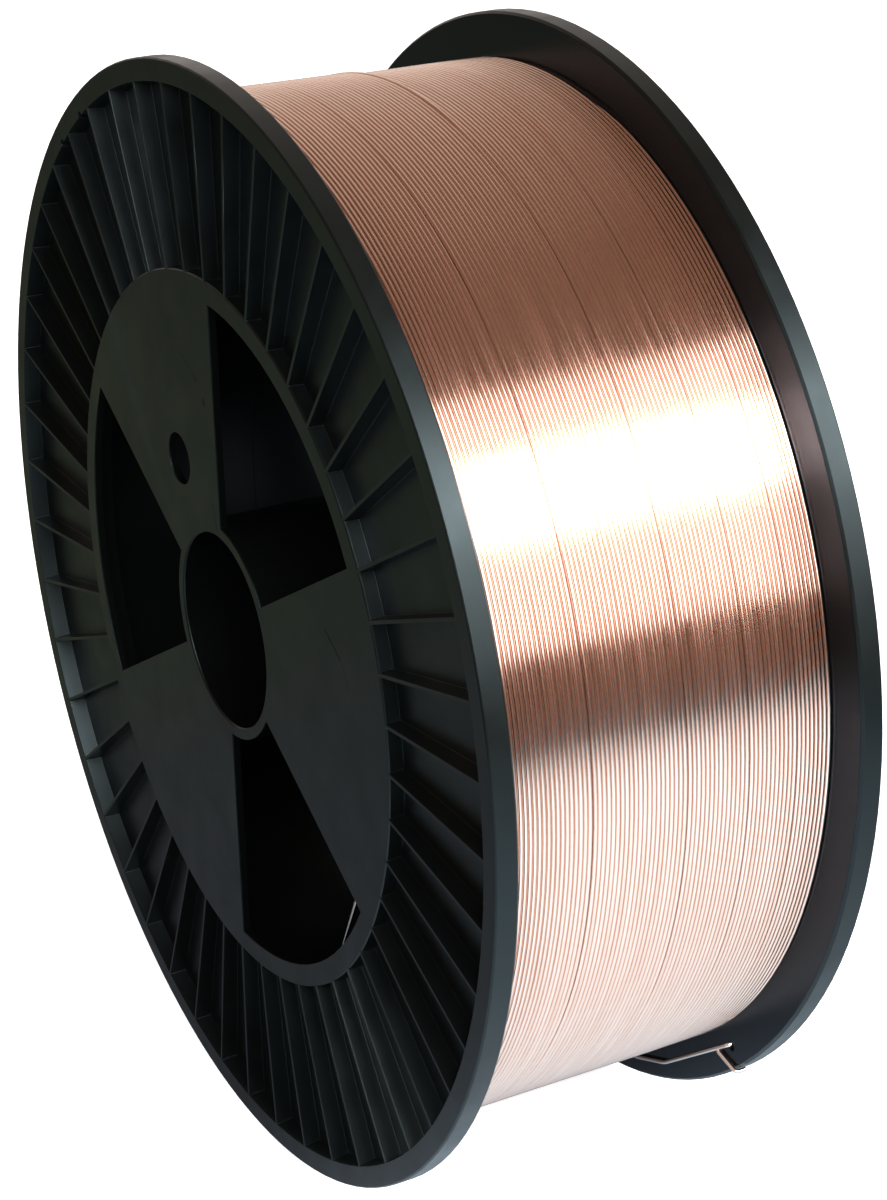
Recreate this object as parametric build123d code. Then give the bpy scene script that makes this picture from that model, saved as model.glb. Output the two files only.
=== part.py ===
from build123d import *
import math
import os

os.makedirs("parts", exist_ok=True)

# MIG wire spool with its wire. Millimetres. The spool axis is Y, Z is up and the spool stands on its two rims.
# The near flange faces -Y, the origin is on the axis at mid width, and angles run from +X towards +Z.

# Spool
flange_diameter = 298.0
hub_span = 103.0
bore_diameter = 52.5
hub_wall = 3.1
barrel_wall = 2.5

# Flange moulding
rim_proud = 0.7
rim_thickness = 6.2
flange_draft = 1.3
lip_width = 5.9
pocket_depth = 4.7
disc_inset = 10.4
disc_wall = 2.2
disc_plate = 2.2
disc_edge_chamfer = 0.35
rib_count = 48
rib_thickness = 1.5
rib_draft = 4.0
rim_inner_chamfer = 0.7
rim_outer_chamfer = 0.4
bore_chamfer = 0.4

# Windows and holes through the disc
window_count = 3
window_sweep = 60.0
window_first = 60.0
window_band = 5.9
spoke_margin = 1.45
driving_hole_diameter = 14.0
driving_hole_offset = 46.8
driving_hole_angle = 120.0

# Small holes that hold the wire's ends
anchor_hole_diameter = 2.6
anchor_inset = 5.9
near_anchor_angles = [122.6, 130.0]
far_anchor_angles = [-47.7, -50.5]

# Seam where the two halves plug together
spigot_length = 4.0
spigot_wall = 1.2

# Wire
wire_diameter = 1.2
winding_depth = 31.3
rim_above_wire = 11.7
start_plane_inset = 9.2
start_angle = -71.0
start_end_inset = 28.6
start_end_angle = -38.4
tail_angles = [-87.0, -70.2, -63.3]
tail_end_angle = -48.2
tail_inset = 5.3
tail_hook = 3.0
tail_clearance = 0.15
bend_radius = 14.0
tight_bend_radius = 1.1

# Derived places
flange_radius = flange_diameter / 2
bore_radius = bore_diameter / 2
hub_radius = bore_radius + hub_wall
winding_radius = flange_radius - rim_above_wire
barrel_radius = winding_radius - winding_depth
barrel_inner = barrel_radius - barrel_wall
disc_radius = barrel_radius - disc_inset
disc_inner = disc_radius - disc_wall
lip_radius = flange_radius - lip_width
window_outer = disc_radius - window_band
wire_radius = wire_diameter / 2
disc_face = hub_span / 2
rim_face = disc_face + rim_proud
pocket_floor = rim_face - pocket_depth
slope = math.tan(math.radians(flange_draft))


def inner_face(radius):
    """Distance of a flange's inner face from mid width, at a radius."""
    return rim_face - rim_thickness - slope * (flange_radius - radius)


def polar(radius, angle, along=0.0):
    """Point at a radius and an angle round the spool axis."""
    turn = math.radians(angle)
    return Vector(radius * math.cos(turn), along, radius * math.sin(turn))


def spin(*points):
    """Solid turned round the spool axis from (radius, distance from mid width) points, near side."""
    outline = Polyline(*[(radius, -along) for radius, along in points], close=True)
    return revolve(make_face(outline), Axis.Y, 360)


def near_plane(along):
    """Plane square to the spool axis on the near side, seen from outside, with Z up."""
    return Plane(origin=(0, -along, 0), x_dir=(1, 0, 0), z_dir=(0, -1, 0))


def corner(outline, radius, along):
    """Corner of an outline at one radius and one distance from mid width."""
    return outline.vertices().sort_by_distance((radius, -along, 0))[0]


def moulded_half(anchor_angles, male):
    """One half of the spool, placed on the near side: flange, half barrel and half hub."""
    points = [
        (bore_radius, disc_face),
        (disc_radius, disc_face),
        (lip_radius, rim_face),
        (flange_radius, rim_face),
        (flange_radius, inner_face(flange_radius)),
        (barrel_radius, inner_face(barrel_radius)),
        (barrel_radius, 0),
        (barrel_inner, 0),
        (barrel_inner, inner_face(barrel_inner)),
        (disc_inner, inner_face(disc_inner)),
        (disc_inner, disc_face - disc_plate),
        (hub_radius, disc_face - disc_plate),
        (hub_radius, 0),
        (bore_radius, 0),
    ]
    outline = make_face(Polyline(*[(radius, -along) for radius, along in points], close=True))
    outline = chamfer(corner(outline, flange_radius, inner_face(flange_radius)), rim_inner_chamfer)
    outline = chamfer(corner(outline, flange_radius, rim_face), rim_outer_chamfer)
    outline = chamfer(corner(outline, bore_radius, disc_face), bore_chamfer)
    body = revolve(outline, Axis.Y, 360)

    # Pockets between the ribs, their inner wall bevelled into the disc's face
    pocket_ring = spin(
        (disc_radius - disc_edge_chamfer, disc_face),
        (disc_radius - disc_edge_chamfer, rim_face + 1),
        (lip_radius, rim_face + 1),
        (lip_radius, pocket_floor),
        (disc_radius, pocket_floor),
        (disc_radius, disc_face - disc_edge_chamfer),
    )
    rib_length = lip_radius - disc_radius + 4
    rib_places = PolarLocations((lip_radius + disc_radius) / 2, rib_count)
    rib_outline = Sketch() + rib_places * Rectangle(rib_length, rib_thickness)
    ribs = extrude(near_plane(pocket_floor) * rib_outline, pocket_depth + 2, taper=rib_draft)
    body -= pocket_ring - ribs

    window = Sketch() + [
        make_window(window_first + i * 360 / window_count) for i in range(window_count)
    ]
    body -= extrude(near_plane(disc_face + 1) * window, -(disc_plate + 2))

    hole = Pos(polar(driving_hole_offset, driving_hole_angle, -disc_face)) * Rot(90, 0, 0)
    body -= hole * Cylinder(driving_hole_diameter / 2, 3 * disc_plate)

    for angle in anchor_angles:
        hole = Pos(polar(flange_radius - anchor_inset, angle, -rim_face)) * Rot(90, 0, 0)
        body -= hole * Cylinder(anchor_hole_diameter / 2, 4 * rim_thickness)

    lap = barrel_inner + spigot_wall
    if male:
        body += spin((barrel_inner, 1), (lap, 1), (lap, -spigot_length), (barrel_inner, -spigot_length))
    else:
        body -= spin((barrel_inner - 1, -1), (lap, -1), (lap, spigot_length), (barrel_inner - 1, spigot_length))
    return body


def make_window(middle):
    """Sector-shaped opening between the hub ring and the disc's outer band.

    Its two straight edges stand off their radial lines by the spoke margin.
    """
    half = window_sweep / 2
    reach = 2 * window_outer
    rise = reach * math.tan(math.radians(half))
    wedge = make_face(Polyline((0, 0), (reach, -rise), (reach, rise), close=True))
    moved = Pos(spoke_margin / math.sin(math.radians(half)), 0) * wedge
    return Rot(0, 0, middle) * ((moved & Circle(window_outer)) - Circle(hub_radius))


def rod(start, end):
    """Straight round wire between two points."""
    line = Edge.make_line(start, end)
    return sweep(Plane(start, z_dir=(end - start)) * Circle(wire_radius), path=line)


# Wire's inner end: straight through the barrel, seen behind the lower window
start_along = -(rim_face - start_plane_inset)
start_out = polar(barrel_radius, start_angle, start_along)
start_in = polar(barrel_radius - start_end_inset, start_end_angle, start_along)
through = (start_out - start_in).normalized()
inside_barrel = Rot(90, 0, 0) * Cylinder(barrel_radius, hub_span)
wire_start = rod(start_out + through * 2, start_in) & inside_barrel

spool_half_near = moulded_half(near_anchor_angles, True)
start_clear = Plane(start_out + through * 4, z_dir=-through) * Circle(anchor_hole_diameter / 2)
spool_half_near -= extrude(start_clear, 14)

# The far half is the same moulding turned over about the line through the driving hole
flip = Axis((0, 0, 0), tuple(polar(1, driving_hole_angle)))
flipped_angles = [2 * driving_hole_angle - angle for angle in far_anchor_angles]
spool_half_far = moulded_half(flipped_angles, False).rotate(flip, 180)

# Winding: full layers from flange to flange on the barrel
wire_winding = spin(
    (barrel_radius, inner_face(barrel_radius)),
    (winding_radius, inner_face(winding_radius)),
    (winding_radius, -inner_face(winding_radius)),
    (barrel_radius, -inner_face(barrel_radius)),
)

# Wire's outer end: off the last turn, in and out of the far flange's two holes and over its rim
thread_radius = lip_radius - wire_radius
lay = inner_face(winding_radius) - wire_radius
behind = pocket_floor + wire_radius
first_hole = polar(thread_radius, far_anchor_angles[0])
second_hole = polar(thread_radius, far_anchor_angles[1])
over_rim = polar(flange_radius + wire_radius + tail_clearance, tail_end_angle)
tail_points = [
    polar(winding_radius + wire_radius, tail_angles[0], lay),
    polar(flange_radius - tail_inset, tail_angles[1], lay),
    polar(flange_radius - tail_inset, tail_angles[2], lay),
    Vector(first_hole.X, lay, first_hole.Z),
    Vector(first_hole.X, behind, first_hole.Z),
    Vector(second_hole.X, behind, second_hole.Z),
    Vector(second_hole.X, lay, second_hole.Z),
    Vector(over_rim.X, lay, over_rim.Z),
    Vector(over_rim.X, lay + tail_hook, over_rim.Z),
]
bends = [bend_radius] * 2 + [tight_bend_radius] * 4 + [tight_bend_radius * 0.8]
tail_line = FilletPolyline(*tail_points, radius=bends)
tail_start = Plane(tail_line @ 0, z_dir=tail_line % 0)
wire_tail = sweep(tail_start * Circle(wire_radius), path=tail_line)

named = {
    "spool_half_near": spool_half_near,
    "spool_half_far": spool_half_far,
    "wire_winding": wire_winding,
    "wire_start": wire_start,
    "wire_tail": wire_tail,
}
for name, shape in named.items():
    solids = shape.solids()
    print(name, len(solids), "solid(s)", round(sum(s.volume for s in solids) / 1000, 2), "cm3")
    export_step(shape, f"parts/{name}.step")
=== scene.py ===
"""Looks of a full spool of welding wire: two moulded halves, the wound wire and the wire's two loose ends.

Metres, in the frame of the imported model: the spool axis is Y, Z is up, the near flange faces -Y, and angles run
from +X towards +Z.
"""
import logging
import math
from dataclasses import dataclass
from enum import Enum

import bmesh
import bpy
from mathutils import Matrix, Vector


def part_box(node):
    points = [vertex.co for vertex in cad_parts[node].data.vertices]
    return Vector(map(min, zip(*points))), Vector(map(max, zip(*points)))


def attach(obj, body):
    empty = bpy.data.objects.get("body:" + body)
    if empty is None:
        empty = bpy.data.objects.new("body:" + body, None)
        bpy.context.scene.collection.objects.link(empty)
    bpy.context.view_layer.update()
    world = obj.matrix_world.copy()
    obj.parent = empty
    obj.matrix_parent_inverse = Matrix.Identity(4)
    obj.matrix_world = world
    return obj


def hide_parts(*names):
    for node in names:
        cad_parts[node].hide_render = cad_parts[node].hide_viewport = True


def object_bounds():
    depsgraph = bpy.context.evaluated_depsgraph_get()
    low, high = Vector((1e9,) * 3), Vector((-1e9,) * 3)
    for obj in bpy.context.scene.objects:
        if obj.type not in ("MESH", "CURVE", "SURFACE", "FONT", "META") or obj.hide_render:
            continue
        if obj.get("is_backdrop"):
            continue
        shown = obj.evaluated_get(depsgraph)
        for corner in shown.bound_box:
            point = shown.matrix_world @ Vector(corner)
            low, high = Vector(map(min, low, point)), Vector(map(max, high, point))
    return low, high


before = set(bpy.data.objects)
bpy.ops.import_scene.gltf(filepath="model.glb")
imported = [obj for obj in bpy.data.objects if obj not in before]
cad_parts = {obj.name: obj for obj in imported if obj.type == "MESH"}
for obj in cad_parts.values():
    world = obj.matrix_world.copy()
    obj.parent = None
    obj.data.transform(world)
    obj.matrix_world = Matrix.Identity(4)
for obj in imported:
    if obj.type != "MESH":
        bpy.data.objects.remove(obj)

log = logging.getLogger("wire_spool")

MM = 0.001
Socket = bpy.types.NodeSocket
Tree = bpy.types.NodeTree

# Settings that many nodes share. A Map Range node takes its value in place 0, the range that this comes from in 1
# and 2, and the range that it goes to in 3 and 4. A Mix node takes numbers in 2 and 3, and colours in 6 and 7.
SMOOTH = {"interpolation_type": "SMOOTHSTEP"}
NUMBER = {"data_type": "FLOAT"}
COLOUR = {"data_type": "RGBA"}

# What is left of a place when it is taken square to the spool axis, or level with the floor
SQUARE_TO_AXIS = (1.0, 0.0, 1.0)
LEVEL = (1.0, 1.0, 0.0)

WHITE = "#ffffff"
BLACK = "#000000"


class Part(str, Enum):
    """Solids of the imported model."""

    HALF_NEAR = "spool_half_near"
    HALF_FAR = "spool_half_far"
    WINDING = "wire_winding"
    WIRE_START = "wire_start"
    WIRE_TAIL = "wire_tail"


class Slot(str, Enum):
    """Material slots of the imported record."""

    PLASTIC = "moulded_plastic"
    WOUND = "wound_wire"


class Axis(Enum):
    """Directions that the studio's parts are laid out along."""

    SPOOL = Vector((0, 1, 0))
    UP = Vector((0, 0, 1))


def to_linear(colour: str, alpha: float = 1.0) -> tuple[float, float, float, float]:
    """Turns an sRGB hex colour into linear values.

    Args:
        colour: Six hex digits after a hash.
        alpha: The fourth value of the result.

    Returns:
        Linear red, green and blue, and the alpha.
    """
    parts = [int(colour[i : i + 2], 16) / 255 for i in (1, 3, 5)]
    linear = [p / 12.92 if p <= 0.04045 else ((p + 0.055) / 1.055) ** 2.4 for p in parts]
    return (linear[0], linear[1], linear[2], alpha)


def add_node(tree: Tree, kind: str, settings: dict | None = None, links: dict | None = None) -> bpy.types.Node:
    """Adds a node to a tree.

    Args:
        tree: The node tree.
        kind: The node's type name.
        settings: Property names with their values.
        links: Input names or places, each with a value or with the output that feeds it.

    Returns:
        The new node.
    """
    node = tree.nodes.new(kind)
    for name, value in (settings or {}).items():
        setattr(node, name, value)
    for name, value in (links or {}).items():
        if isinstance(value, Socket):
            tree.links.new(value, node.inputs[name])
        else:
            node.inputs[name].default_value = value
    return node


def new_material(name: str) -> tuple[bpy.types.Material, Tree, bpy.types.Node]:
    """Makes an empty node material.

    Args:
        name: The material's name.

    Returns:
        The material, its tree and its output node.
    """
    material = bpy.data.materials.new(name)
    material.use_nodes = True
    tree = material.node_tree
    tree.nodes.clear()
    return material, tree, add_node(tree, "ShaderNodeOutputMaterial")


def place(name: str, mesh: bpy.types.Mesh) -> bpy.types.Object:
    """Puts a mesh in the scene as an object at the origin.

    Args:
        name: The object's name.
        mesh: The mesh, in the model's frame.

    Returns:
        The object.
    """
    thing = bpy.data.objects.new(name, mesh)
    bpy.context.scene.collection.objects.link(thing)
    return thing


def made_plain(thing: bpy.types.Object) -> None:
    """Turns an object's modifiers into its plain mesh and takes them off.

    Args:
        thing: The object, whose mesh is replaced.
    """
    bpy.context.view_layer.update()
    graph = bpy.context.evaluated_depsgraph_get()
    finished = thing.evaluated_get(graph)
    mesh = bpy.data.meshes.new_from_object(finished, preserve_all_data_layers=True, depsgraph=graph)
    mesh.name = thing.name
    thing.modifiers.clear()
    thing.data = mesh


@dataclass(frozen=True)
class Mark:
    """A scuff on the near disc, a straight stroke between two places given as X and Z in millimetres.

    Its width is in millimetres too, and its depth is a share of the finish's scuffing.
    """

    start: tuple[float, float]
    end: tuple[float, float]
    width: float
    depth: float

    def mask(self, tree: Tree, flat: Socket) -> Socket:
        """Builds the mark's mask.

        Args:
            tree: The material's tree.
            flat: The place on the object, with nothing along the spool axis.

        Returns:
            The mark's depth on its middle line, fading to nothing at its width.
        """
        start = Vector((self.start[0], 0, self.start[1])) * MM
        stroke = Vector((self.end[0], 0, self.end[1])) * MM - start
        offset = add_node(tree, "ShaderNodeVectorMath", {"operation": "SUBTRACT"}, {0: flat, 1: start}).outputs[0]
        along_stroke = add_node(
            tree, "ShaderNodeVectorMath", {"operation": "DOT_PRODUCT"}, {0: offset, 1: stroke}
        ).outputs["Value"]
        share = add_node(
            tree,
            "ShaderNodeMath",
            {"operation": "DIVIDE", "use_clamp": True},
            {0: along_stroke, 1: stroke.length_squared},
        ).outputs[0]
        nearest = add_node(
            tree, "ShaderNodeVectorMath", {"operation": "SCALE"}, {0: stroke, "Scale": share}
        ).outputs[0]
        away = add_node(
            tree, "ShaderNodeVectorMath", {"operation": "DISTANCE"}, {0: offset, 1: nearest}
        ).outputs["Value"]
        return add_node(
            tree,
            "ShaderNodeMapRange",
            SMOOTH,
            {0: away, 1: 0.0, 2: self.width * MM, 3: self.depth, 4: 0.0},
        ).outputs[0]


@dataclass(frozen=True)
class BlackPolystyrene:
    """Finish of the two halves: black polystyrene, injection moulded.

    The mould leaves a satin face with a faint unevenness in its sheen, and handling rubs the edges a little paler
    and scratches the near disc. The faces round the core are smoother. All reflections carry a painted tint: cool
    outside, painted shade that dims them nearly to black behind the discs, in the windows and in the bore, and a
    painted bluish tint on the flanges' inner faces. The real grain is a few tenths of a millimetre, too fine to
    show, and is drawn about as coarse as a turn of wire.
    """

    name: str = "black_polystyrene_moulded"
    black: str = "#060706"
    rubbed: str = "#3c4244"
    # Tints painted on the reflections: a cool painted tint outside, painted shade that dims them behind the discs, in
    # the windows and in the bore, and a painted bluish tint on the flanges' inner faces that paints out the copper's
    # warm reflection
    painted_cool_sheen: str = "#e0f6f6"
    painted_inside_shade: str = "#8c8c90"
    painted_flange_sheen: str = "#a0d0ff"
    specular_level: float = 0.34

    # Roughness from the shiniest to the dullest patch, over the middle of the noise's range
    sheen_patch: float = 14 * MM
    patch_span: tuple[float, float] = (0.3, 0.7)
    roughness: tuple[float, float] = (0.29, 0.4)
    core_side_roughness: float = 0.24
    scuffed_roughness: float = 0.75

    # Paler edges, where the surface turns more sharply than the first value, in full at the second
    edge_span: tuple[float, float] = (0.53, 0.62)
    most_rubbed: float = 0.35

    # Where the faces round the core lie
    barrel_outside: float = 110 * MM
    between_flanges: float = 46.05 * MM
    disc_inside: float = 94.5 * MM
    below_disc_face: float = 51.0 * MM

    grain: float = 1.2 * MM
    grain_height: float = 0.05 * MM
    grain_strength: float = 0.12

    # Scuffs on the near disc, whose face lies beyond this place along the axis
    disc_from: float = -50.5 * MM
    marks: tuple[Mark, ...] = (
        Mark((63.3, 25.0), (71.2, 20.2), 0.75, 0.9),
        Mark((71.2, 20.2), (75.5, 14.0), 0.6, 0.4),
        Mark((-18.2, 71.5), (-9.7, 67.3), 0.9, 0.25),
        Mark((-9.8, 67.3), (-9.2, 66.8), 1.2, 0.4),
        Mark((-4.7, 62.3), (-4.4, 61.6), 1.3, 0.5),
        Mark((-2.4, 35.0), (-0.5, 28.0), 0.5, 0.5),
    )

    def build(self) -> bpy.types.Material:
        """Builds the material.

        Returns:
            The material, which reads the place on the object.
        """
        material, tree, output = new_material(self.name)
        where = add_node(tree, "ShaderNodeTexCoord").outputs["Object"]
        flat = add_node(
            tree, "ShaderNodeVectorMath", {"operation": "MULTIPLY"}, {0: where, 1: SQUARE_TO_AXIS}
        ).outputs[0]
        radius = add_node(tree, "ShaderNodeVectorMath", {"operation": "LENGTH"}, {0: flat}).outputs["Value"]
        along = add_node(tree, "ShaderNodeSeparateXYZ", links={0: where}).outputs["Y"]
        patches = add_node(
            tree,
            "ShaderNodeTexNoise",
            links={"Vector": where, "Scale": 1 / self.sheen_patch, "Detail": 3.0, "Roughness": 0.55},
        ).outputs[0]
        core_side = self.core_side(tree, radius, along)
        grain = add_node(tree, "ShaderNodeTexNoise", links={"Vector": where, "Scale": 1 / self.grain, "Detail": 2.0})
        bump = add_node(
            tree,
            "ShaderNodeBump",
            links={"Strength": self.grain_strength, "Distance": self.grain_height, "Height": grain.outputs[0]},
        )
        shader = add_node(
            tree,
            "ShaderNodeBsdfPrincipled",
            links={
                "Base Color": self.colour(tree, patches),
                "Roughness": self.satin(tree, patches, core_side, self.scuffed(tree, flat, along)),
                "Specular IOR Level": self.specular_level,
                "Specular Tint": self.sheen(tree, radius, core_side),
                "Normal": bump.outputs[0],
            },
        )
        tree.links.new(shader.outputs[0], output.inputs[0])
        return material

    def core_side(self, tree: Tree, radius: Socket, along: Socket) -> Socket:
        """Finds the faces round the core: between the flanges, and inside the discs and below their faces.

        Args:
            tree: The material's tree.
            radius: The distance from the spool axis.
            along: The place along the axis.

        Returns:
            One on those faces, else nothing.
        """
        across = add_node(tree, "ShaderNodeMath", {"operation": "ABSOLUTE"}, {0: along}).outputs[0]
        between = add_node(
            tree, "ShaderNodeMath", {"operation": "LESS_THAN"}, {0: across, 1: self.between_flanges}
        ).outputs[0]
        in_disc = add_node(
            tree, "ShaderNodeMath", {"operation": "LESS_THAN"}, {0: radius, 1: self.disc_inside}
        ).outputs[0]
        below_face = add_node(
            tree, "ShaderNodeMath", {"operation": "LESS_THAN"}, {0: across, 1: self.below_disc_face}
        ).outputs[0]
        within = add_node(tree, "ShaderNodeMath", {"operation": "MULTIPLY"}, {0: in_disc, 1: below_face}).outputs[0]
        return add_node(tree, "ShaderNodeMath", {"operation": "MAXIMUM"}, {0: between, 1: within}).outputs[0]

    def scuffed(self, tree: Tree, flat: Socket, along: Socket) -> Socket:
        """Finds the scuffs on the near disc.

        Args:
            tree: The material's tree.
            flat: The place on the object, with nothing along the spool axis.
            along: The place along the axis.

        Returns:
            How deep the deepest mark is there, from nothing to one.
        """
        on_disc = add_node(
            tree, "ShaderNodeMath", {"operation": "LESS_THAN"}, {0: along, 1: self.disc_from}
        ).outputs[0]
        deepest = 0.0
        for mark in self.marks:
            deepest = add_node(
                tree, "ShaderNodeMath", {"operation": "MAXIMUM"}, {0: deepest, 1: mark.mask(tree, flat)}
            ).outputs[0]
        return add_node(tree, "ShaderNodeMath", {"operation": "MULTIPLY"}, {0: on_disc, 1: deepest}).outputs[0]

    def satin(self, tree: Tree, patches: Socket, core_side: Socket, scuffed: Socket) -> Socket:
        """Builds the roughness: uneven on the outside, even round the core, and dull in the scuffs.

        Args:
            tree: The material's tree.
            patches: The slow noise of the sheen.
            core_side: One on the faces round the core, else nothing.
            scuffed: How deep the scuffs are.

        Returns:
            The roughness.
        """
        outside = add_node(
            tree,
            "ShaderNodeMapRange",
            links={
                0: patches,
                1: self.patch_span[0],
                2: self.patch_span[1],
                3: self.roughness[0],
                4: self.roughness[1],
            },
        ).outputs[0]
        whole = add_node(
            tree, "ShaderNodeMix", NUMBER, {0: core_side, 2: outside, 3: self.core_side_roughness}
        ).outputs[0]
        return add_node(tree, "ShaderNodeMix", NUMBER, {0: scuffed, 2: whole, 3: self.scuffed_roughness}).outputs[0]

    def sheen(self, tree: Tree, radius: Socket, core_side: Socket) -> Socket:
        """All of it is painted: a cool painted tint outside, painted shade that dims the reflections round the core,
        and a painted bluish tint on the flanges' inner faces there.

        Args:
            tree: The material's tree.
            radius: The distance from the spool axis.
            core_side: One on the faces round the core, else nothing.

        Returns:
            The tint.
        """
        on_flange = add_node(
            tree, "ShaderNodeMath", {"operation": "GREATER_THAN"}, {0: radius, 1: self.barrel_outside}
        ).outputs[0]
        painted_core_tint = add_node(
            tree,
            "ShaderNodeMix",
            COLOUR,
            {0: on_flange, 6: to_linear(self.painted_inside_shade), 7: to_linear(self.painted_flange_sheen)},
        ).outputs[2]
        return add_node(
            tree, "ShaderNodeMix", COLOUR, {0: core_side, 6: to_linear(self.painted_cool_sheen), 7: painted_core_tint}
        ).outputs[2]

    def colour(self, tree: Tree, patches: Socket) -> Socket:
        """Builds the black, rubbed paler in patches along the edges.

        Args:
            tree: The material's tree.
            patches: The slow noise of the sheen.

        Returns:
            The colour.
        """
        edge = add_node(tree, "ShaderNodeNewGeometry").outputs["Pointiness"]
        wear = add_node(
            tree,
            "ShaderNodeMapRange",
            links={0: edge, 1: self.edge_span[0], 2: self.edge_span[1], 3: 0.0, 4: self.most_rubbed},
        ).outputs[0]
        worn = add_node(tree, "ShaderNodeMath", {"operation": "MULTIPLY"}, {0: wear, 1: patches}).outputs[0]
        return add_node(
            tree, "ShaderNodeMix", COLOUR, {0: worn, 6: to_linear(self.black), 7: to_linear(self.rubbed)}
        ).outputs[2]


@dataclass(frozen=True)
class CopperCoatedWire:
    """Finish of the wire: steel drawn through a die with a thin copper coat.

    It is bright and pinkish, with a slight haze from drawing that stretches lights along each turn, and turns differ
    a little from one another.
    """

    name: str
    copper: str = "#f7d6c5"
    dull: str = "#edc3ad"

    # The haze changes along the wire over the first length and across the turns over the second
    streak_length: float = 30 * MM
    turn_pitch: float = 1.2 * MM
    haze_span: tuple[float, float] = (0.3, 0.7)
    roughness: tuple[float, float] = (0.09, 0.19)
    dull_span: tuple[float, float] = (0.35, 0.75)
    most_dull: float = 0.8

    def build(self) -> bpy.types.Material:
        """Builds the material.

        Returns:
            The material, which reads the place on the object.
        """
        material, tree, output = new_material(self.name)
        where = add_node(tree, "ShaderNodeTexCoord").outputs["Object"]
        streaks = add_node(
            tree,
            "ShaderNodeMapping",
            links={
                "Vector": where,
                "Scale": (1 / self.streak_length, 1 / self.turn_pitch, 1 / self.streak_length),
            },
        ).outputs[0]
        haze = add_node(tree, "ShaderNodeTexNoise", links={"Vector": streaks, "Scale": 1.0, "Detail": 3.0}).outputs[0]
        roughness = add_node(
            tree,
            "ShaderNodeMapRange",
            links={
                0: haze,
                1: self.haze_span[0],
                2: self.haze_span[1],
                3: self.roughness[0],
                4: self.roughness[1],
            },
        ).outputs[0]
        tint = add_node(
            tree,
            "ShaderNodeMapRange",
            links={0: haze, 1: self.dull_span[0], 2: self.dull_span[1], 3: 0.0, 4: self.most_dull},
        ).outputs[0]
        colour = add_node(
            tree, "ShaderNodeMix", COLOUR, {0: tint, 6: to_linear(self.copper), 7: to_linear(self.dull)}
        ).outputs[2]
        shader = add_node(
            tree,
            "ShaderNodeBsdfPrincipled",
            links={"Base Color": colour, "Metallic": 1.0, "Roughness": roughness},
        )
        tree.links.new(shader.outputs[0], output.inputs[0])
        return material


@dataclass
class SpoolHalf:
    """One moulded half: flange with ribs, disc with windows, half barrel and half hub.

    It is the solid's own shape, with its sharp edges rounded as a mould leaves them and the lip's inner wall leaning
    by the mould's draft. Angles in degrees.
    """

    part: Part
    finish: bpy.types.Material
    merge_within: float = 0.002 * MM
    flat_within: float = 0.05
    edge_round: float = 0.15 * MM
    edge_steps: int = 2
    edge_from: float = 35.0
    rim_face: float = 52.2 * MM
    lip_radius: float = 143.1 * MM
    lip_within: float = 0.03 * MM
    lip_foot: float = 47.0 * MM
    lip_draft: float = 8.5

    def build(self) -> bpy.types.Object:
        """Builds the half and puts it in place of its solid.

        Returns:
            The dressed half.
        """
        half = place(self.part.value + "_dressed", self.shell())
        bevel = half.modifiers.new("rounded_edges", "BEVEL")
        bevel.width = self.edge_round
        bevel.segments = self.edge_steps
        bevel.limit_method = "ANGLE"
        bevel.angle_limit = math.radians(self.edge_from)
        bevel.use_clamp_overlap = False
        bevel.harden_normals = True
        made_plain(half)
        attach(half, "root")
        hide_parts(self.part.value)
        return half

    def shell(self) -> bpy.types.Mesh:
        """Makes the half's mesh from its solid, with flat faces made whole.

        Returns:
            The mesh, with its finish and smooth shading.
        """
        work = bmesh.new()
        work.from_mesh(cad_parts[self.part.value].data)
        bmesh.ops.remove_doubles(work, verts=work.verts, dist=self.merge_within)
        self.lean_lip(work)
        bmesh.ops.dissolve_limit(
            work,
            angle_limit=math.radians(self.flat_within),
            verts=work.verts,
            edges=work.edges,
        )
        work.verts.ensure_lookup_table()
        points = [vert.co.copy() for vert in work.verts]
        faces = [[vert.index for vert in face.verts] for face in work.faces]
        work.free()
        mesh = bpy.data.meshes.new(self.part.value + "_dressed")
        mesh.from_pydata(points, [], faces)
        mesh.materials.append(self.finish)
        mesh.shade_smooth()
        return mesh

    def lean_lip(self, work: bmesh.types.BMesh) -> None:
        """Leans the lip's inner wall by the mould's draft, from its edge at the rim's face to its foot.

        Args:
            work: The half's mesh, which is changed.
        """
        lean = math.tan(math.radians(self.lip_draft))
        for vert in work.verts:
            radius = math.hypot(vert.co.x, vert.co.z)
            if abs(radius - self.lip_radius) < self.lip_within and abs(vert.co.y) > self.lip_foot:
                kept = 1 - lean * (self.rim_face - abs(vert.co.y)) / radius
                vert.co.x *= kept
                vert.co.z *= kept


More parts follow.
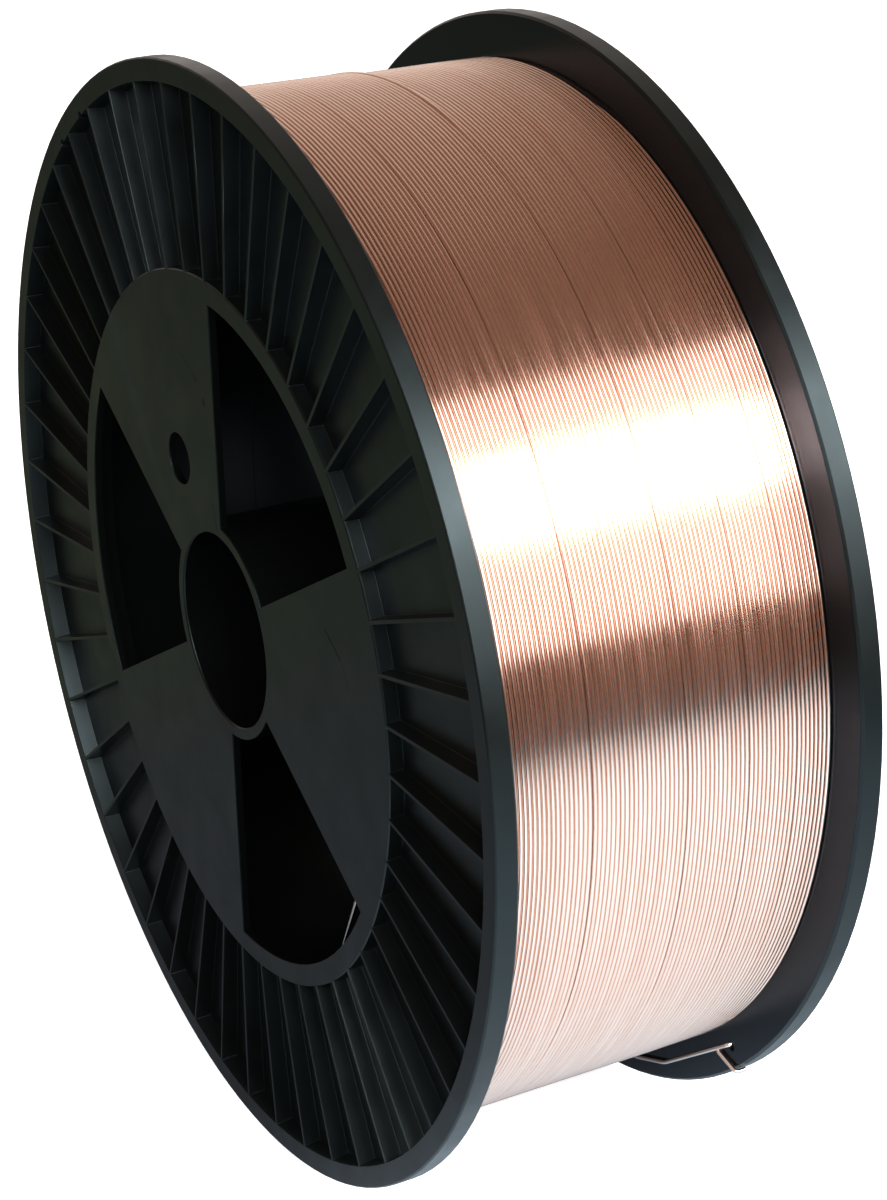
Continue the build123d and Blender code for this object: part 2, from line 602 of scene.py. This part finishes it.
@dataclass
class Winding:
    """The wound wire: a helix of turns over the layers below.

    Each turn lies square to the axis and crosses to the next one low at the back. Places along the axis and sizes
    are in metres, and angles in degrees. A hill's four angles are where it starts to rise, where its top starts and
    ends, and where it is down again.
    """

    finish: bpy.types.Material
    seed: int = 4
    wire_diameter: float = 1.2 * MM
    steps_round: int = 126
    crossing: tuple[float, float] = (-127.0, -87.0)

    # A turn's section is the outer part of a circle, and the layers below it are one ring
    section_sides: int = 9
    section_sweep: float = 230.0
    barrel_radius: float = 106 * MM
    core_below: float = 0.95 * MM
    core_steps: int = 180

    # Turns wander by so much to each side, in so many waves a metre, and leave wider gaps at these places
    wander: float = 0.03 * MM
    wander_waves: float = 55.0
    gaps: tuple[tuple[float, float], ...] = (
        (-20.7 * MM, 0.2 * MM),
        (5.6 * MM, 0.14 * MM),
        (22.5 * MM, 0.12 * MM),
        (35.5 * MM, 0.1 * MM),
    )

    # From the near flange to the loose turn, turns ride up over a slack one at the top of the spool
    ride_from: float = -45 * MM
    loose_turn: float = 5.0 * MM
    ridden: tuple[float, float, float, float] = (74.0, 97.0, 130.0, 175.0)
    ride_near: float = 1.15 * MM
    ride_far: float = 0.65 * MM

    # The loose turn stands proud, and the last one dives beside its flange
    proud_turn: tuple[float, float, float, float] = (70.0, 82.0, 95.0, 120.0)
    proud_by: float = 0.3 * MM
    dived: tuple[float, float, float, float] = (71.0, 80.0, 150.0, 190.0)
    dive_by: float = 0.75 * MM
    last_within: float = 0.1 * MM

    def build(self) -> bpy.types.Object:
        """Builds the winding and puts it in place of its solid.

        Returns:
            The winding, with its outer layer and the ring below.
        """
        _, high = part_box(Part.WINDING.value)
        radius, half_width = high.x, high.y
        winding = place("wire_turns", self.core_mesh(radius - self.core_below, half_width))
        tree = self.turns_tree()
        modifier = winding.modifiers.new("turns", "NODES")
        modifier.node_group = tree
        wire_radius = self.wire_diameter / 2
        lay = half_width - wire_radius
        room = 2 * lay - sum(width for _, width in self.gaps)
        turns = math.floor(room / self.wire_diameter) + 1
        values = {
            "Turns": turns,
            "Pitch": room / (turns - 1),
            "Layer radius": radius - wire_radius,
            "Half width": lay,
            "Wire radius": wire_radius,
            "Wander": self.wander,
            "Seed": self.seed,
            "Finish": self.finish,
        }
        for item in tree.interface.items_tree:
            if item.item_type == "SOCKET" and item.in_out == "INPUT" and item.name in values:
                modifier[item.identifier] = values[item.name]
        made_plain(winding)
        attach(winding, "root")
        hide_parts(Part.WINDING.value)
        return winding

    def core_mesh(self, radius: float, half_width: float) -> bpy.types.Mesh:
        """Makes the layers below as one closed ring.

        Args:
            radius: The ring's outer radius.
            half_width: Half its width.

        Returns:
            The ring's mesh.
        """
        outline = [
            (self.barrel_radius, -half_width),
            (radius, -half_width),
            (radius, half_width),
            (self.barrel_radius, half_width),
        ]
        corners = len(outline)
        points = []
        faces = []
        for step in range(self.core_steps):
            turn = 2 * math.pi * step / self.core_steps
            points += [(r * math.cos(turn), y, r * math.sin(turn)) for r, y in outline]
            this, after = corners * step, corners * ((step + 1) % self.core_steps)
            for corner in range(corners):
                other = (corner + 1) % corners
                faces.append((this + corner, after + corner, after + other, this + other))
        mesh = bpy.data.meshes.new("wire_turns")
        mesh.from_pydata(points, [], faces)
        mesh.materials.append(self.finish)
        work = bmesh.new()
        work.from_mesh(mesh)
        bmesh.ops.recalc_face_normals(work, faces=work.faces)
        work.to_mesh(mesh)
        work.free()
        return mesh

    def part_at(self, angle: float) -> float:
        """Works out how far round its turn the wire is at an angle round the spool."""
        return (angle - self.crossing[1]) / 360 % 1.0

    def turns_tree(self) -> Tree:
        """Builds the Geometry Nodes tree that winds the outer layer.

        Returns:
            The tree. Its inputs are the layer's sizes in metres, the seed and the finish.
        """
        tree = bpy.data.node_groups.new("outer_layer", "GeometryNodeTree")
        tree.interface.new_socket("Geometry", in_out="INPUT", socket_type="NodeSocketGeometry")
        tree.interface.new_socket("Turns", in_out="INPUT", socket_type="NodeSocketInt")
        for name in ("Pitch", "Layer radius", "Half width", "Wire radius", "Wander"):
            tree.interface.new_socket(name, in_out="INPUT", socket_type="NodeSocketFloat")
        tree.interface.new_socket("Seed", in_out="INPUT", socket_type="NodeSocketInt")
        tree.interface.new_socket("Finish", in_out="INPUT", socket_type="NodeSocketMaterial")
        tree.interface.new_socket("Geometry", in_out="OUTPUT", socket_type="NodeSocketGeometry")
        given = add_node(tree, "NodeGroupInput").outputs
        result = add_node(tree, "NodeGroupOutput")

        # Steps along the wire, as whole turns and the part of a turn
        step = add_node(tree, "GeometryNodeInputIndex").outputs[0]
        count = add_node(
            tree,
            "ShaderNodeMath",
            {"operation": "MULTIPLY_ADD"},
            {0: given["Turns"], 1: float(self.steps_round), 2: 1.0},
        ).outputs[0]
        line = add_node(tree, "GeometryNodeMeshLine", {"mode": "OFFSET"}, {"Count": count}).outputs[0]
        turn = add_node(
            tree, "ShaderNodeMath", {"operation": "DIVIDE"}, {0: step, 1: float(self.steps_round)}
        ).outputs[0]
        whole = add_node(tree, "ShaderNodeMath", {"operation": "FLOOR"}, {0: turn}).outputs[0]
        part = add_node(tree, "ShaderNodeMath", {"operation": "SUBTRACT"}, {0: turn, 1: whole}).outputs[0]

        along = self.place_along(tree, given, turn, whole, part)
        radius = self.place_out(tree, given, along, part)
        start = add_node(tree, "ShaderNodeCombineXYZ", links={0: radius, 1: along, 2: 0.0}).outputs[0]
        angle = add_node(
            tree,
            "ShaderNodeMath",
            {"operation": "MULTIPLY_ADD"},
            {0: turn, 1: -2 * math.pi, 2: -math.radians(self.crossing[1])},
        ).outputs[0]
        wound = add_node(
            tree,
            "ShaderNodeVectorRotate",
            {"rotation_type": "Y_AXIS"},
            {"Vector": start, "Angle": angle},
        ).outputs[0]

        wire = self.swept_wire(tree, given, line, wound)
        smooth = add_node(tree, "GeometryNodeSetShadeSmooth", links={0: wire})
        both = add_node(tree, "GeometryNodeJoinGeometry")
        tree.links.new(smooth.outputs[0], both.inputs[0])
        tree.links.new(given["Geometry"], both.inputs[0])
        real = add_node(tree, "GeometryNodeRealizeInstances", links={0: both.outputs[0]})
        coated = add_node(
            tree,
            "GeometryNodeSetMaterial",
            links={"Geometry": real.outputs[0], "Material": given["Finish"]},
        )
        tree.links.new(coated.outputs[0], result.inputs[0])
        return tree

    def place_along(
        self,
        tree: Tree,
        given: bpy.types.bpy_prop_collection,
        turn: Socket,
        whole: Socket,
        part: Socket,
    ) -> Socket:
        """Builds the wire's place along the axis, with its crossings and its wider gaps.

        Args:
            tree: The geometry tree.
            given: The tree's inputs.
            turn: How many turns the wire has gone.
            whole: The whole turns of those.
            part: The part of a turn left over.

        Returns:
            The place along the axis, kept between the flanges.
        """
        crossing = self.part_at(self.crossing[0])
        crossed = add_node(
            tree, "ShaderNodeMapRange", SMOOTH, {0: part, 1: crossing, 2: 1.0, 3: 0.0, 4: 1.0}
        ).outputs[0]
        laid = add_node(tree, "ShaderNodeMath", {"operation": "ADD"}, {0: whole, 1: crossed}).outputs[0]
        gone = add_node(tree, "ShaderNodeMath", {"operation": "MULTIPLY"}, {0: laid, 1: given["Pitch"]}).outputs[0]
        along = add_node(
            tree, "ShaderNodeMath", {"operation": "SUBTRACT"}, {0: gone, 1: given["Half width"]}
        ).outputs[0]
        for gap_at, width in self.gaps:
            reach = add_node(
                tree, "ShaderNodeMath", {"operation": "ADD"}, {0: given["Half width"], 1: gap_at}
            ).outputs[0]
            first = add_node(
                tree, "ShaderNodeMath", {"operation": "DIVIDE"}, {0: reach, 1: given["Pitch"]}
            ).outputs[0]
            past = add_node(tree, "ShaderNodeMath", {"operation": "ADD"}, {0: first, 1: 0.5}).outputs[0]
            after = add_node(tree, "ShaderNodeMath", {"operation": "ROUND"}, {0: past}).outputs[0]
            before = add_node(
                tree, "ShaderNodeMath", {"operation": "SUBTRACT"}, {0: after, 1: 1 - crossing}
            ).outputs[0]
            gap = add_node(
                tree, "ShaderNodeMapRange", SMOOTH, {0: turn, 1: before, 2: after, 3: 0.0, 4: width}
            ).outputs[0]
            along = add_node(tree, "ShaderNodeMath", {"operation": "ADD"}, {0: along, 1: gap}).outputs[0]
        near_end = add_node(
            tree, "ShaderNodeMath", {"operation": "MULTIPLY"}, {0: given["Half width"], 1: -1.0}
        ).outputs[0]
        return add_node(
            tree, "ShaderNodeClamp", links={0: along, 1: near_end, 2: given["Half width"]}
        ).outputs[0]

    def place_out(
        self,
        tree: Tree,
        given: bpy.types.bpy_prop_collection,
        along: Socket,
        part: Socket,
    ) -> Socket:
        """Builds the wire's distance from the axis, with the turns that ride up, stand proud or dive.

        Args:
            tree: The geometry tree.
            given: The tree's inputs.
            along: The wire's place along the axis.
            part: How far round its turn it is.

        Returns:
            The distance of the wire's middle from the axis.
        """
        near_side = add_node(
            tree,
            "ShaderNodeMath",
            {"operation": "LESS_THAN"},
            {0: along, 1: self.loose_turn + self.wire_diameter / 2},
        ).outputs[0]
        riding = add_node(
            tree, "ShaderNodeMath", {"operation": "MULTIPLY"}, {0: self.hill(tree, part, self.ridden), 1: near_side}
        ).outputs[0]
        ride = add_node(
            tree,
            "ShaderNodeMapRange",
            links={0: along, 1: self.ride_from, 2: self.loose_turn, 3: self.ride_near, 4: self.ride_far},
        ).outputs[0]
        rise = add_node(tree, "ShaderNodeMath", {"operation": "MULTIPLY"}, {0: riding, 1: ride}).outputs[0]
        radius = add_node(
            tree, "ShaderNodeMath", {"operation": "ADD"}, {0: given["Layer radius"], 1: rise}
        ).outputs[0]

        offset = add_node(
            tree, "ShaderNodeMath", {"operation": "SUBTRACT"}, {0: along, 1: self.loose_turn}
        ).outputs[0]
        away = add_node(tree, "ShaderNodeMath", {"operation": "ABSOLUTE"}, {0: offset}).outputs[0]
        half_pitch = add_node(
            tree, "ShaderNodeMath", {"operation": "MULTIPLY"}, {0: given["Pitch"], 1: 0.5}
        ).outputs[0]
        loose = add_node(tree, "ShaderNodeMath", {"operation": "LESS_THAN"}, {0: away, 1: half_pitch}).outputs[0]
        proud = add_node(
            tree, "ShaderNodeMath", {"operation": "MULTIPLY"}, {0: loose, 1: self.hill(tree, part, self.proud_turn)}
        ).outputs[0]
        radius = add_node(
            tree, "ShaderNodeMath", {"operation": "MULTIPLY_ADD"}, {0: proud, 1: self.proud_by, 2: radius}
        ).outputs[0]

        far_end = add_node(
            tree, "ShaderNodeMath", {"operation": "SUBTRACT"}, {0: given["Half width"], 1: self.last_within}
        ).outputs[0]
        last = add_node(tree, "ShaderNodeMath", {"operation": "GREATER_THAN"}, {0: along, 1: far_end}).outputs[0]
        dive = add_node(
            tree, "ShaderNodeMath", {"operation": "MULTIPLY"}, {0: last, 1: self.hill(tree, part, self.dived)}
        ).outputs[0]
        return add_node(
            tree, "ShaderNodeMath", {"operation": "MULTIPLY_ADD"}, {0: dive, 1: -self.dive_by, 2: radius}
        ).outputs[0]

    def hill(self, tree: Tree, part: Socket, angles: tuple[float, float, float, float]) -> Socket:
        """Builds a smooth hill round the spool.

        Args:
            tree: The geometry tree.
            part: How far round its turn the wire is.
            angles: The hill's four angles.

        Returns:
            The hill's height, from nothing to one.
        """
        up, top, edge, down = (self.part_at(angle) for angle in angles)
        rise = add_node(tree, "ShaderNodeMapRange", SMOOTH, {0: part, 1: up, 2: top, 3: 0.0, 4: 1.0}).outputs[0]
        fall = add_node(tree, "ShaderNodeMapRange", SMOOTH, {0: part, 1: edge, 2: down, 3: 0.0, 4: 1.0}).outputs[0]
        return add_node(tree, "ShaderNodeMath", {"operation": "SUBTRACT"}, {0: rise, 1: fall}).outputs[0]

    def swept_wire(
        self,
        tree: Tree,
        given: bpy.types.bpy_prop_collection,
        line: Socket,
        wound: Socket,
    ) -> Socket:
        """Builds the round wire along its wound line, which wanders a little, as laid wire does.

        Args:
            tree: The geometry tree.
            given: The tree's inputs.
            line: The line of steps along the wire.
            wound: Each step's place on the winding.

        Returns:
            The wire's surface.
        """
        noise = add_node(
            tree,
            "ShaderNodeTexNoise",
            {"noise_dimensions": "4D"},
            {"Vector": wound, "W": given["Seed"], "Scale": self.wander_waves, "Detail": 2.0},
        )
        centred = add_node(
            tree,
            "ShaderNodeVectorMath",
            {"operation": "SUBTRACT"},
            {0: noise.outputs[1], 1: (0.5, 0.5, 0.5)},
        )
        shift = add_node(
            tree,
            "ShaderNodeVectorMath",
            {"operation": "SCALE"},
            {0: centred.outputs[0], "Scale": given["Wander"]},
        )
        laid = add_node(
            tree,
            "GeometryNodeSetPosition",
            links={"Geometry": line, "Position": wound, "Offset": shift.outputs[0]},
        )
        path = add_node(tree, "GeometryNodeMeshToCurve", links={"Mesh": laid.outputs[0]})
        outward = add_node(
            tree, "ShaderNodeVectorMath", {"operation": "MULTIPLY"}, {0: wound, 1: SQUARE_TO_AXIS}
        )
        faced = add_node(
            tree,
            "GeometryNodeSetCurveNormal",
            {"mode": "FREE"},
            {"Curve": path.outputs[0], "Normal": outward.outputs[0]},
        )
        section = add_node(
            tree,
            "GeometryNodeCurveArc",
            links={
                "Resolution": self.section_sides,
                "Radius": given["Wire radius"],
                "Start Angle": math.radians(-self.section_sweep / 2),
                "Sweep Angle": math.radians(self.section_sweep),
            },
        )
        closed = add_node(tree, "GeometryNodeSetSplineCyclic", links={0: section.outputs[0], "Cyclic": True})
        return add_node(
            tree,
            "GeometryNodeCurveToMesh",
            links={"Curve": faced.outputs[0], "Profile Curve": closed.outputs[0], "Fill Caps": True},
        ).outputs[0]


@dataclass
class WireEnds:
    """The wire's inner and outer end, whose solids are kept and get the wire's finish."""

    finish: bpy.types.Material
    parts: tuple[Part, ...] = (Part.WIRE_START, Part.WIRE_TAIL)

    def build(self) -> list[bpy.types.Object]:
        """Gives both ends their finish.

        Returns:
            The two ends.
        """
        ends = [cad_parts[part.value] for part in self.parts]
        for end in ends:
            for slot in end.material_slots:
                slot.material = self.finish
        return ends


@dataclass(frozen=True)
class Viewpoint:
    """The photograph's camera. Metres, angles in degrees, and pixel places in the photograph's frame."""

    location: tuple[float, float, float] = (0.63876, -0.31576, 0.31245)
    heading: float = 150.8392
    pitch: float = -23.1701
    roll: float = -0.7166
    lens_mm: float = 86.5023
    frame_px: tuple[int, int] = (887, 1200)
    optical_centre_px: tuple[float, float] = (530.47, 561.36)
    seen_from: float = 0.01
    seen_to: float = 50.0

    def build(self) -> bpy.types.Object:
        """Makes the camera and sets it as the scene's.

        Returns:
            The camera.
        """
        data = bpy.data.cameras.new("photo_camera")
        data.lens = self.lens_mm
        width, height = self.frame_px
        data.shift_x = (width / 2 - self.optical_centre_px[0]) / height
        data.shift_y = (self.optical_centre_px[1] - height / 2) / height
        data.clip_start, data.clip_end = self.seen_from, self.seen_to
        camera = bpy.data.objects.new("photo_camera", data)
        bpy.context.scene.collection.objects.link(camera)
        camera.matrix_world = Matrix.Translation(self.location) @ self.turned().to_4x4()
        bpy.context.scene.camera = camera
        return camera

    def turned(self) -> Matrix:
        """Works out the camera's turn.

        Returns:
            The rotation, with the camera's right, up and backward directions as its columns.
        """
        heading, pitch, roll = (math.radians(a) for a in (self.heading, self.pitch, self.roll))
        ahead = Vector(
            (math.cos(pitch) * math.cos(heading), math.cos(pitch) * math.sin(heading), math.sin(pitch))
        )
        right = ahead.cross(Axis.UP.value).normalized()
        up = right.cross(ahead)
        rolled_right = right * math.cos(roll) + up * math.sin(roll)
        rolled_up = up * math.cos(roll) - right * math.sin(roll)
        return Matrix((rolled_right, rolled_up, -ahead)).transposed()


@dataclass(frozen=True)
class SoftLamp:
    """Long flat lamp in front of the spool, parallel to its axis and facing it.

    Its lower and upper edges are given as X and Z in metres, and its middle's place along the axis as along.
    """

    name: str
    low: tuple[float, float]
    high: tuple[float, float]
    length: float
    watts: float
    along: float = 0.0
    light: str = "#f5f9ff"

    def build(self) -> bpy.types.Object:
        """Makes the lamp, which the camera doesn't see.

        Returns:
            The lamp.
        """
        low = Vector((self.low[0], self.along, self.low[1]))
        high = Vector((self.high[0], self.along, self.high[1]))
        data = bpy.data.lights.new(self.name, "AREA")
        data.shape = "RECTANGLE"
        data.size = self.length
        data.size_y = (high - low).length
        data.energy = self.watts
        data.color = to_linear(self.light)[:3]
        lamp = bpy.data.objects.new(self.name, data)
        bpy.context.scene.collection.objects.link(lamp)
        across = Axis.SPOOL.value
        rise = (high - low).normalized()
        backward = across.cross(rise)
        middle = (low + high) / 2
        if backward.dot(middle) < 0:
            across = -across
            backward = -backward
        turn = Matrix((across, rise, backward)).transposed()
        lamp.matrix_world = Matrix.Translation(middle) @ turn.to_4x4()
        lamp.visible_camera = False
        return lamp


@dataclass
class Studio:
    """Pale floor, a broad soft lamp with a bright strip before it, and a room that is white to the camera.

    Lamps, floor and room are what the bright wire and the plastic mirror. As they mirror it, the floor counts as dark
    paper with a painted pool of light in front of the spool, a painted shadow behind and under it, painted tones and
    a painted glow. Places along X and distances are in metres, and levels run from nothing to one.
    """

    lamps: tuple[SoftLamp, ...] = (
        SoftLamp("broad_lamp", (1.419, 0.206), (0.731, 1.226), 3.0, 42.0, along=0.9),
        SoftLamp("bright_strip", (1.066, 0.634), (0.853, 0.9), 3.0, 38.0),
    )

    # The paper as the camera sees it: it glows towards white with the distance from the spool
    floor_half: float = 8.0
    paper: str = "#f2f2f2"
    glow_reach: tuple[float, float] = (0.2, 1.2)
    glow_level: tuple[float, float] = (0.72, 1.0)

    # The floor as the object mirrors it, all painted light: its painted tones behind and in front of the spool, and
    # how light each part is painted, with a painted pool of light in front and a painted shadow behind and under the
    # spool
    painted_warm_tone: str = "#d8ebca"
    painted_blue_tone: str = "#e8f2ff"
    painted_cool_tone: str = "#cfe2ee"
    blue_from: tuple[float, float] = (-0.34, -0.14)
    painted_light_from: tuple[float, float] = (-0.02, 0.1)
    painted_pool_centre: tuple[float, float] = (0.35, -0.1)
    painted_pool_reach: tuple[float, float] = (0.1, 0.65)
    painted_pool_level: float = 0.9
    painted_level_beyond_pool: float = 0.06
    painted_shadow_level: float = 0.175
    painted_floor_glow: float = 0.4

    # The room, which the far floor fades into, and a paler backdrop low behind the spool
    room_colour: str = "#776356"
    room_from: tuple[float, float] = (0.65, 1.3)
    backdrop_colour: str = "#fff4ed"
    backdrop_towards: tuple[float, float, float] = (-0.87, 0.49, 0.0)
    backdrop_span: tuple[float, float] = (0.45, 1.0)
    backdrop_top: float = 1.05

    def build(self) -> None:
        """Makes the floor, the lamps and the surroundings."""
        self.floor()
        for lamp in self.lamps:
            lamp.build()
        self.room()
        bpy.context.scene.view_settings.view_transform = "Standard"

    def floor(self) -> None:
        """Makes the floor under the rims."""
        low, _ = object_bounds()
        half = self.floor_half
        corners = [(-half, -half, low.z), (half, -half, low.z), (half, half, low.z), (-half, half, low.z)]
        mesh = bpy.data.meshes.new("floor")
        mesh.from_pydata(corners, [], [(0, 1, 2, 3)])
        mesh.materials.append(self.floor_material())
        place("floor", mesh)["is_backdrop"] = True

    def floor_material(self) -> bpy.types.Material:
        """Builds the floor's matt paper, which looks white to the camera and keeps the shadow.

        Returns:
            The material.
        """
        material, tree, output = new_material("matt_white_paper")
        where = add_node(tree, "ShaderNodeTexCoord").outputs["Object"]
        ahead = add_node(tree, "ShaderNodeSeparateXYZ", links={0: where}).outputs["X"]
        centred = add_node(
            tree,
            "ShaderNodeMapping",
            {"vector_type": "POINT"},
            {0: where, 1: (-self.painted_pool_centre[0], -self.painted_pool_centre[1], 0.0)},
        ).outputs[0]
        away = add_node(tree, "ShaderNodeVectorMath", {"operation": "LENGTH"}, {0: centred}).outputs["Value"]
        rays = add_node(tree, "ShaderNodeLightPath").outputs
        chosen = add_node(
            tree,
            "ShaderNodeMixShader",
            links={
                0: rays["Is Camera Ray"],
                1: self.mirrored_floor(tree, ahead, away, rays["Is Glossy Ray"]),
                2: self.seen_floor(tree, away),
            },
        )
        tree.links.new(chosen.outputs[0], output.inputs[0])
        return material

    def seen_floor(self, tree: Tree, away: Socket) -> Socket:
        """Builds the floor that the camera sees.

        Args:
            tree: The floor's tree.
            away: The distance from the middle of the painted pool of light.

        Returns:
            Its shader.
        """
        paper = add_node(tree, "ShaderNodeBsdfDiffuse", links={0: to_linear(self.paper)})
        level = add_node(
            tree,
            "ShaderNodeMapRange",
            SMOOTH,
            {
                0: away,
                1: self.glow_reach[0],
                2: self.glow_reach[1],
                3: self.glow_level[0],
                4: self.glow_level[1],
            },
        )
        glow = add_node(tree, "ShaderNodeEmission", links={0: to_linear(WHITE), 1: level.outputs[0]})
        return add_node(tree, "ShaderNodeAddShader", links={0: paper.outputs[0], 1: glow.outputs[0]}).outputs[0]

    def mirrored_floor(self, tree: Tree, ahead: Socket, away: Socket, glossy: Socket) -> Socket:
        """Builds the floor that lights the object and shows in its reflections.

        Args:
            tree: The floor's tree.
            ahead: The place along X.
            away: The distance from the middle of the painted pool of light.
            glossy: One for a ray that a shiny surface sends, else nothing.

        Returns:
            Its shader.
        """
        in_front = add_node(
            tree, "ShaderNodeMapRange", SMOOTH, {0: ahead, 1: self.painted_light_from[0], 2: self.painted_light_from[1], 3: 0.0, 4: 1.0}
        ).outputs[0]
        pool = add_node(
            tree,
            "ShaderNodeMapRange",
            SMOOTH,
            {
                0: away,
                1: self.painted_pool_reach[0],
                2: self.painted_pool_reach[1],
                3: self.painted_pool_level,
                4: self.painted_level_beyond_pool,
            },
        ).outputs[0]
        # Painted light: the painted pool of light in front, and a painted shadow behind and under the spool
        level = add_node(
            tree, "ShaderNodeMix", NUMBER, {0: in_front, 2: self.painted_shadow_level, 3: pool}
        ).outputs[0]
        tone = self.painted_floor_tone(tree, ahead, in_front)
        # Painted glow that only reflections see
        shine = add_node(
            tree, "ShaderNodeMath", {"operation": "MULTIPLY"}, {0: glossy, 1: self.painted_floor_glow}
        ).outputs[0]
        matt = add_node(tree, "ShaderNodeBsdfDiffuse", links={0: tone}).outputs[0]
        bright = add_node(tree, "ShaderNodeEmission", links={0: tone, 1: shine}).outputs[0]
        lit = add_node(tree, "ShaderNodeAddShader", links={0: matt, 1: bright}).outputs[0]
        dark = add_node(tree, "ShaderNodeBsdfDiffuse", links={0: to_linear(BLACK)}).outputs[0]
        near = add_node(tree, "ShaderNodeMixShader", links={0: level, 1: dark, 2: lit}).outputs[0]
        # Painted glow: far off, the floor shows the room's colour in reflections
        far_off = add_node(
            tree, "ShaderNodeMapRange", SMOOTH, {0: ahead, 1: self.room_from[0], 2: self.room_from[1], 3: 0.0, 4: 1.0}
        ).outputs[0]
        like_room = add_node(
            tree, "ShaderNodeEmission", links={0: to_linear(self.room_colour), 1: glossy}
        ).outputs[0]
        return add_node(tree, "ShaderNodeMixShader", links={0: far_off, 1: near, 2: like_room}).outputs[0]

    def painted_floor_tone(self, tree: Tree, ahead: Socket, in_front: Socket) -> Socket:
        """Builds the mirrored floor's tone: warm far behind the spool, blue close behind it, and cool in front.

        Args:
            tree: The floor's tree.
            ahead: The place along X.
            in_front: One in front of the spool's axis, nothing behind it.

        Returns:
            The colour.
        """
        close_by = add_node(
            tree, "ShaderNodeMapRange", SMOOTH, {0: ahead, 1: self.blue_from[0], 2: self.blue_from[1], 3: 0.0, 4: 1.0}
        ).outputs[0]
        behind = add_node(
            tree,
            "ShaderNodeMix",
            COLOUR,
            {0: close_by, 6: to_linear(self.painted_warm_tone), 7: to_linear(self.painted_blue_tone)},
        ).outputs[2]
        return add_node(
            tree, "ShaderNodeMix", COLOUR, {0: in_front, 6: behind, 7: to_linear(self.painted_cool_tone)}
        ).outputs[2]

    def room(self) -> None:
        """Makes the surroundings: white to the camera, otherwise a brown room with a paler backdrop."""
        world = bpy.data.worlds.new("studio_room")
        world.use_nodes = True
        bpy.context.scene.world = world
        tree = world.node_tree
        tree.nodes.clear()
        output = add_node(tree, "ShaderNodeOutputWorld")
        towards = add_node(tree, "ShaderNodeTexCoord").outputs["Generated"]
        level = add_node(tree, "ShaderNodeVectorMath", {"operation": "MULTIPLY"}, {0: towards, 1: LEVEL}).outputs[0]
        heading = add_node(tree, "ShaderNodeVectorMath", {"operation": "NORMALIZE"}, {0: level}).outputs[0]
        facing = add_node(
            tree, "ShaderNodeVectorMath", {"operation": "DOT_PRODUCT"}, {0: heading, 1: self.backdrop_towards}
        ).outputs["Value"]
        behind = add_node(
            tree,
            "ShaderNodeMapRange",
            SMOOTH,
            {0: facing, 1: self.backdrop_span[0], 2: self.backdrop_span[1], 3: 0.0, 4: 1.0},
        ).outputs[0]
        height = add_node(tree, "ShaderNodeSeparateXYZ", links={0: towards}).outputs["Z"]
        low_down = add_node(
            tree, "ShaderNodeMapRange", links={0: height, 1: 0.0, 2: self.backdrop_top, 3: 1.0, 4: 0.0}
        ).outputs[0]
        backdrop = add_node(tree, "ShaderNodeMath", {"operation": "MULTIPLY"}, {0: behind, 1: low_down}).outputs[0]
        mirrored = add_node(
            tree,
            "ShaderNodeMix",
            COLOUR,
            {0: backdrop, 6: to_linear(self.room_colour), 7: to_linear(self.backdrop_colour)},
        ).outputs[2]
        rays = add_node(tree, "ShaderNodeLightPath").outputs
        chosen = add_node(
            tree, "ShaderNodeMix", COLOUR, {0: rays["Is Camera Ray"], 6: mirrored, 7: to_linear(WHITE)}
        ).outputs[2]
        shader = add_node(tree, "ShaderNodeBackground", links={0: chosen, 1: 1.0})
        tree.links.new(shader.outputs[0], output.inputs[0])


def main() -> None:
    """Dresses the spool and sets the studio round it."""
    logging.basicConfig(level=logging.INFO, format="%(message)s")
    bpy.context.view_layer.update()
    Viewpoint().build()
    plastic = BlackPolystyrene().build()
    wound = CopperCoatedWire("copper_coated_wire_wound").build()
    # A single strand looks paler than the winding, so its copy of the copper is painted paler, a lighter copy of the
    # same finish standing in for how light falls on a single strand; its haze changes along it in longer patches
    loose = CopperCoatedWire("copper_coated_wire_loose", "#f4e9e2", "#dcc3b4", turn_pitch=9 * MM).build()
    for part in (Part.HALF_NEAR, Part.HALF_FAR):
        half = SpoolHalf(part, plastic).build()
        log.info("%s: %d faces", half.name, len(half.data.polygons))
    winding = Winding(wound).build()
    log.info("%s: %d faces", winding.name, len(winding.data.polygons))
    for end in WireEnds(loose).build():
        log.info("%s: its solid, with a new finish", end.name)
    Studio().build()


if __name__ == "__main__":
    main()
